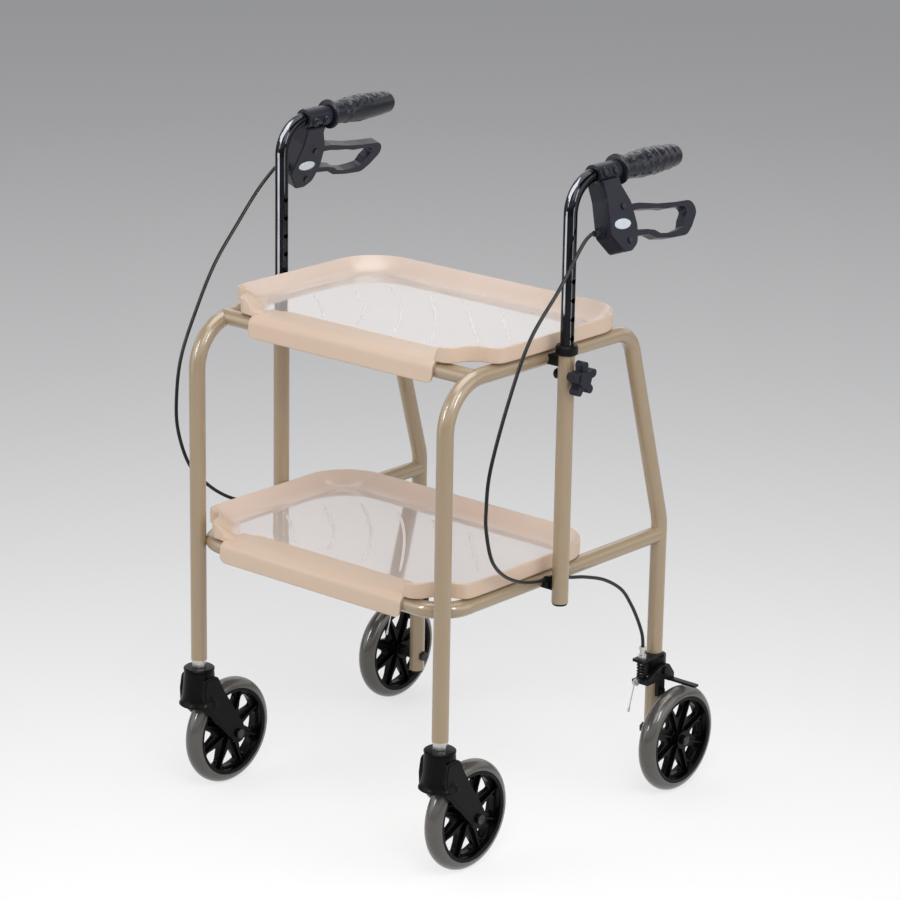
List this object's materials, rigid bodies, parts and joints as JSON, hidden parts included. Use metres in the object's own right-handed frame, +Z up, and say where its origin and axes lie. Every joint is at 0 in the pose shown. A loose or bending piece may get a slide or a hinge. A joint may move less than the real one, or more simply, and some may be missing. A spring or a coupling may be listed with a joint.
{
  "type": "indoor walker with tray",
  "caption": "Wheeled indoor walking frame of bent tube with hook-on trays, height-adjustable handles, cable-operated loop brakes, swivel castors in front and fixed wheels behind.",
  "frame": {"origin": "on the floor, at the middle of the bounding box", "axes": "+Z up, the front (castor end) faces -Y, +X is the user's left"},
  "size_m": [0.5956, 0.5564, 0.9212],
  "materials": {
    "frame_paint": "glossy beige powder coat",
    "tray_plastic": "very glossy pinkish cream moulding",
    "chrome": "bright chrome plate",
    "black_plastic": "satin black moulding",
    "black_steel": "black coated steel",
    "steel": "zinc plated steel",
    "screw_black": "black oxide steel",
    "cable_sheath": "black plastic cable sheath",
    "grip_rubber": "fine-textured soft black rubber",
    "tyre": "mid grey non-marking rubber"
  },
  "bodies": {
    "frame": {"left_side_frame": "frame_paint", "right_side_frame": "frame_paint", "top_crossbar": "frame_paint", "lower_frame": "frame_paint", "left_socket": "frame_paint", "right_socket": "frame_paint", "socket_saddles": "black_plastic", "socket_bolts": "steel", "collars": "black_plastic", "socket_plugs": "black_plastic", "clamp_heads": "black_plastic", "leg_plugs": "black_plastic", "castor_stems": "steel", "rear_axles": "screw_black", "left_brake_bracket": "black_plastic", "right_brake_bracket": "black_plastic", "cable_adjusters": "steel", "cable_clips": "black_plastic", "left_cable_upper": "cable_sheath", "right_cable_upper": "cable_sheath", "left_cable_lower": "cable_sheath", "right_cable_lower": "cable_sheath", "left_brake_spring": "black_steel", "right_brake_spring": "black_steel"},
    "left_castor": {"left_fork": "black_plastic", "left_fork_cap": "black_plastic", "left_castor_axle": "screw_black"},
    "left_front_wheel": {"left_front_rim": "black_plastic", "left_front_tyre": "tyre"},
    "left_rear_wheel": {"left_rear_rim": "black_plastic", "left_rear_tyre": "tyre"},
    "left_wheel_brake": {"left_brake_arm": "black_steel", "left_cable_anchor": "steel"},
    "left_handle": {"left_handle_tube": "chrome", "left_grip": "grip_rubber", "left_housing": "black_plastic", "left_housing_cover": "black_plastic", "left_housing_screws": "screw_black"},
    "left_park_rocker": {"left_rocker": "steel"},
    "left_brake_lever": {"left_lever": "black_plastic"},
    "left_clamp_knob": {"left_knob": "black_plastic"},
    "right_castor": {"right_fork": "black_plastic", "right_fork_cap": "black_plastic", "right_castor_axle": "screw_black"},
    "right_front_wheel": {"right_front_rim": "black_plastic", "right_front_tyre": "tyre"},
    "right_rear_wheel": {"right_rear_rim": "black_plastic", "right_rear_tyre": "tyre"},
    "right_wheel_brake": {"right_brake_arm": "black_steel", "right_cable_anchor": "steel"},
    "right_handle": {"right_handle_tube": "chrome", "right_grip": "grip_rubber", "right_housing": "black_plastic", "right_housing_cover": "black_plastic", "right_housing_screws": "screw_black"},
    "right_park_rocker": {"right_rocker": "steel"},
    "right_brake_lever": {"right_lever": "black_plastic"},
    "right_clamp_knob": {"right_knob": "black_plastic"},
    "upper_tray_unit": {"upper_tray": "tray_plastic"},
    "lower_tray_unit": {"lower_tray": "tray_plastic"}
  },
  "joints": [
    {"name": "left_castor_swivel", "type": "hinge", "parent": "frame", "child": "left_castor", "pos_m": [0.217, -0.2535, 0.165], "axis": [0, 0, 1], "continuous": true},
    {"name": "left_front_spin", "type": "hinge", "parent": "left_castor", "child": "left_front_wheel", "pos_m": [0.217, -0.2, 0.075], "axis": [1, 0, 0], "continuous": true},
    {"name": "left_rear_spin", "type": "hinge", "parent": "frame", "child": "left_rear_wheel", "pos_m": [0.2585, 0.2, 0.075], "axis": [1, 0, 0], "continuous": true},
    {"name": "left_handle_height", "type": "slide", "parent": "frame", "child": "left_handle", "axis": [0, 0, 1], "range_m": [-0.125, 0.025], "deforming": ["left_cable_upper"]},
    {"name": "left_park_push", "type": "hinge", "parent": "left_handle", "child": "left_park_rocker", "pos_m": [0.28112, 0.012, 0.81549], "axis": [0.9397, 0, 0.342], "range_deg": [-20, 0]},
    {"name": "left_squeeze", "type": "hinge", "parent": "left_park_rocker", "child": "left_brake_lever", "pos_m": [0.27052, 0.024, 0.84462], "axis": [0.9397, 0, 0.342], "range_deg": [0, 15], "stiffness_Nm_per_rad": 3, "springref_deg": -8.59},
    {"name": "left_brake_press", "type": "hinge", "parent": "frame", "child": "left_wheel_brake", "pos_m": [0.2375, 0.196, 0.17], "axis": [1, 0, 0], "range_deg": [-8.5, 0], "stiffness_Nm_per_rad": 1.5, "springref_deg": 8.59, "deforming": ["left_brake_spring"]},
    {"name": "left_knob_turn", "type": "hinge", "parent": "frame", "child": "left_clamp_knob", "pos_m": [0.275, -0.056, 0.647], "axis": [1, 0, 0], "continuous": true},
    {"name": "right_castor_swivel", "type": "hinge", "parent": "frame", "child": "right_castor", "pos_m": [-0.217, -0.2535, 0.165], "axis": [0, 0, 1], "continuous": true},
    {"name": "right_front_spin", "type": "hinge", "parent": "right_castor", "child": "right_front_wheel", "pos_m": [-0.217, -0.2, 0.075], "axis": [1, 0, 0], "continuous": true},
    {"name": "right_rear_spin", "type": "hinge", "parent": "frame", "child": "right_rear_wheel", "pos_m": [-0.2585, 0.2, 0.075], "axis": [1, 0, 0], "continuous": true},
    {"name": "right_handle_height", "type": "slide", "parent": "frame", "child": "right_handle", "axis": [0, 0, 1], "range_m": [-0.125, 0.025], "deforming": ["right_cable_upper"]},
    {"name": "right_park_push", "type": "hinge", "parent": "right_handle", "child": "right_park_rocker", "pos_m": [-0.28112, 0.012, 0.81549], "axis": [0.9397, 0, -0.342], "range_deg": [-20, 0]},
    {"name": "right_squeeze", "type": "hinge", "parent": "right_park_rocker", "child": "right_brake_lever", "pos_m": [-0.27052, 0.024, 0.84462], "axis": [0.9397, 0, -0.342], "range_deg": [0, 15], "stiffness_Nm_per_rad": 3, "springref_deg": -8.59},
    {"name": "right_brake_press", "type": "hinge", "parent": "frame", "child": "right_wheel_brake", "pos_m": [-0.2375, 0.196, 0.17], "axis": [1, 0, 0], "range_deg": [-8.5, 0], "stiffness_Nm_per_rad": 1.5, "springref_deg": 8.59, "deforming": ["right_brake_spring"]},
    {"name": "right_knob_turn", "type": "hinge", "parent": "frame", "child": "right_clamp_knob", "pos_m": [-0.275, -0.056, 0.647], "axis": [1, 0, 0], "continuous": true},
    {"name": "upper_tray_lift", "type": "slide", "parent": "frame", "child": "upper_tray_unit", "axis": [0, 0, 1], "range_m": [0, 0.028]},
    {"name": "lower_tray_lift", "type": "slide", "parent": "frame", "child": "lower_tray_unit", "axis": [0, 0, 1], "range_m": [0, 0.028]}
  ],
  "couplings": [
    {"joint": "left_brake_press", "follows": "left_squeeze", "ratio": -0.56},
    {"joint": "right_brake_press", "follows": "right_squeeze", "ratio": -0.56}
  ]
}
